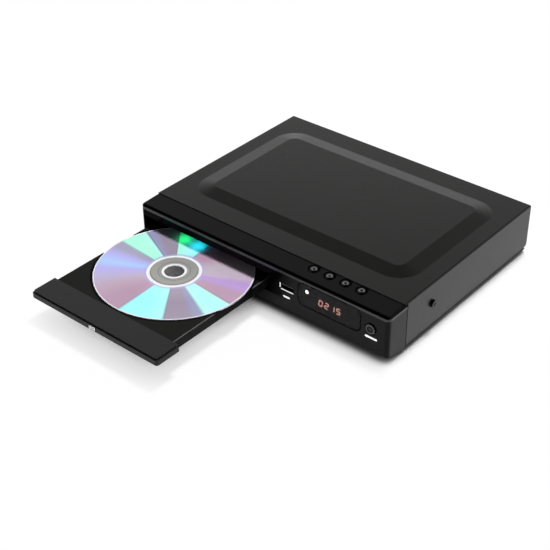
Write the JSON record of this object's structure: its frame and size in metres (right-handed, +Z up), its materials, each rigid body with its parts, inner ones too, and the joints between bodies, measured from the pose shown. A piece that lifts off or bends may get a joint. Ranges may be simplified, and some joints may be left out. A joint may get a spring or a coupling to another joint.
{
  "type": "disc player",
  "caption": "Flat disc player with its loading tray out, round keys on the front edge, a display window, a front socket and the loader and pickup inside.",
  "frame": {"origin": "on the table, under the middle of the whole player with its tray out; the middle of the case lies 55 mm behind it", "axes": "+X along the front from its left end to its right, +Y from the front to the back, +Z up"},
  "size_m": [0.2406, 0.3111, 0.0439],
  "materials": {
    "cover_paint": "satin",
    "pan_paint": "satin",
    "panel_paint": "satin",
    "bezel_plastic": "gloss",
    "foot_rubber": "matt",
    "side_screw_steel": "satin",
    "rear_screw_steel": "satin",
    "inner_screw_steel": "satin",
    "window_acrylic": "gloss",
    "display_block": "gloss",
    "status_lens": "gloss",
    "receiver_plastic": "gloss",
    "power_plastic": "gloss",
    "usb_steel": "polished",
    "usb_tongue_plastic": "matt",
    "front_board": "matt",
    "key_board": "matt",
    "switch_plastic": "matt",
    "ribbon_plastic": "satin",
    "main_board": "matt",
    "chip_plastic": "matt",
    "supply_board": "matt",
    "transformer_wrap": "satin",
    "capacitor_sleeve": "gloss",
    "inlet_plastic": "satin",
    "hdmi_steel": "polished",
    "jack_plastic": "satin",
    "jack_plating": "polished",
    "jack_yellow": "satin",
    "jack_white": "satin",
    "jack_red": "satin",
    "loader_plastic": "satin",
    "bridge_steel": "satin",
    "clamper_plastic": "satin",
    "clamper_steel": "satin",
    "loading_motor_steel": "satin",
    "motor_pulley_brass": "satin",
    "belt_rubber": "matt",
    "pulley_plastic": "satin",
    "gear_plastic": "satin",
    "cam_plastic": "satin",
    "lift_plastic": "satin",
    "damper_rubber": "matt",
    "traverse_steel": "satin",
    "spindle_steel": "satin",
    "turntable_plastic": "satin",
    "sled_plastic": "satin",
    "lens_plastic": "gloss",
    "rod_steel": "polished",
    "sled_motor_steel": "satin",
    "lead_screw_steel": "satin",
    "tray_plastic": "satin",
    "door_plastic": "satin",
    "indicator_plastic": "satin",
    "disc_polycarbonate": "polished",
    "key_plastic_1": "gloss",
    "key_plastic_2": "gloss",
    "key_plastic_3": "gloss",
    "key_plastic_4": "gloss"
  },
  "bodies": {
    "case": {"top_cover": "cover_paint", "bottom_chassis": "pan_paint", "rear_panel": "panel_paint", "front_bezel": "bezel_plastic", "feet": "foot_rubber", "side_screws": "side_screw_steel", "rear_screws": "rear_screw_steel", "inner_screws": "inner_screw_steel", "display_window": "window_acrylic", "led_display": "display_block", "status_led": "status_lens", "ir_receiver": "receiver_plastic", "usb_socket": "usb_steel", "usb_tongue": "usb_tongue_plastic", "front_pcb": "front_board", "key_pcb": "key_board", "tact_switches": "switch_plastic", "front_ribbon": "ribbon_plastic", "main_pcb": "main_board", "main_chips": "chip_plastic", "psu_pcb": "supply_board", "transformer": "transformer_wrap", "psu_capacitors": "capacitor_sleeve", "power_inlet": "inlet_plastic", "hdmi_socket": "hdmi_steel", "rca_housing": "jack_plastic", "rca_sleeves": "jack_plating", "rca_yellow": "jack_yellow", "rca_white": "jack_white", "rca_red": "jack_red", "loader_frame": "loader_plastic", "clamp_bridge": "bridge_steel", "loading_motor": "loading_motor_steel", "drive_belt": "belt_rubber"},
    "tray": {"tray": "tray_plastic", "tray_door": "door_plastic", "tray_indicator": "indicator_plastic"},
    "disc": {"disc": "disc_polycarbonate"},
    "tray_gear": {"tray_gear": "gear_plastic"},
    "pulley_gear": {"pulley_gear": "pulley_plastic"},
    "motor_pulley": {"motor_pulley": "motor_pulley_brass"},
    "cam": {"cam_slider": "cam_plastic"},
    "traverse": {"lift_frame": "lift_plastic", "rubber_dampers": "damper_rubber", "traverse_plate": "traverse_steel", "spindle_motor": "spindle_steel", "guide_rods": "rod_steel", "sled_motor": "sled_motor_steel"},
    "turntable": {"turntable": "turntable_plastic"},
    "sled": {"pickup_sled": "sled_plastic", "pickup_lens": "lens_plastic"},
    "lead_screw": {"lead_screw": "lead_screw_steel"},
    "clamper": {"clamper": "clamper_plastic", "clamper_cap": "clamper_steel"},
    "power_button": {"power_button": "power_plastic"},
    "top_button_1": {"top_button_1": "key_plastic_1"},
    "top_button_2": {"top_button_2": "key_plastic_2"},
    "top_button_3": {"top_button_3": "key_plastic_3"},
    "top_button_4": {"top_button_4": "key_plastic_4"}
  },
  "joints": [
    {"name": "tray_slide", "type": "slide", "parent": "case", "child": "tray", "axis": [0, 1, 0], "range_m": [0, 0.117]},
    {"name": "disc_spin", "type": "hinge", "parent": "tray", "child": "disc", "pos_m": [-0.0508, -0.0724, 0.0238], "axis": [0, 0, 1], "continuous": true},
    {"name": "tray_gear_spin", "type": "hinge", "parent": "case", "child": "tray_gear", "pos_m": [-0.0946, -0.0035, 0.0186], "axis": [0, 0, 1], "range_deg": [-746, 0]},
    {"name": "pulley_gear_spin", "type": "hinge", "parent": "case", "child": "pulley_gear", "pos_m": [-0.0815, -0.0035, 0.0175], "axis": [0, 0, 1], "range_deg": [0, 1677]},
    {"name": "motor_pulley_spin", "type": "hinge", "parent": "case", "child": "motor_pulley", "pos_m": [-0.0555, -0.0035, 0.0157], "axis": [0, 0, 1], "range_deg": [0, 5102]},
    {"name": "traverse_lift", "type": "slide", "parent": "case", "child": "traverse", "axis": [0, 0, 1], "range_m": [0, 0.00865]},
    {"name": "cam_slide", "type": "slide", "parent": "case", "child": "cam", "axis": [-1, 0, 0], "range_m": [0, 0.01]},
    {"name": "turntable_spin", "type": "hinge", "parent": "traverse", "child": "turntable", "pos_m": [-0.0508, 0.0446, 0.0132], "axis": [0, 0, 1], "continuous": true},
    {"name": "sled_slide", "type": "slide", "parent": "traverse", "child": "sled", "axis": [0, 1, 0], "range_m": [0, 0.034]},
    {"name": "lead_screw_spin", "type": "hinge", "parent": "traverse", "child": "lead_screw", "pos_m": [-0.0302, 0.081, 0.0096], "axis": [0, 1, 0], "range_deg": [0, 4081]},
    {"name": "clamper_spin", "type": "hinge", "parent": "case", "child": "clamper", "pos_m": [-0.0508, 0.0446, 0.029], "axis": [0, 0, 1], "continuous": true},
    {"name": "power_press", "type": "slide", "parent": "case", "child": "power_button", "axis": [0, 1, 0], "range_m": [0, 0.0008], "stiffness_N_per_m": 500},
    {"name": "top_press_1", "type": "slide", "parent": "case", "child": "top_button_1", "axis": [0, 0, -1], "range_m": [0, 0.0008], "stiffness_N_per_m": 500},
    {"name": "top_press_2", "type": "slide", "parent": "case", "child": "top_button_2", "axis": [0, 0, -1], "range_m": [0, 0.0008], "stiffness_N_per_m": 500},
    {"name": "top_press_3", "type": "slide", "parent": "case", "child": "top_button_3", "axis": [0, 0, -1], "range_m": [0, 0.0008], "stiffness_N_per_m": 500},
    {"name": "top_press_4", "type": "slide", "parent": "case", "child": "top_button_4", "axis": [0, 0, -1], "range_m": [0, 0.0008], "stiffness_N_per_m": 500}
  ],
  "couplings": [
    {"joint": "tray_gear_spin", "follows": "tray_slide", "rad_per_m": -111.11},
    {"joint": "pulley_gear_spin", "follows": "tray_slide", "rad_per_m": 250},
    {"joint": "motor_pulley_spin", "follows": "tray_slide", "rad_per_m": 760.8},
    {"joint": "cam_slide", "follows": "traverse_lift", "ratio": 1.156},
    {"joint": "lead_screw_spin", "follows": "sled_slide", "rad_per_m": 2094.4}
  ]
}
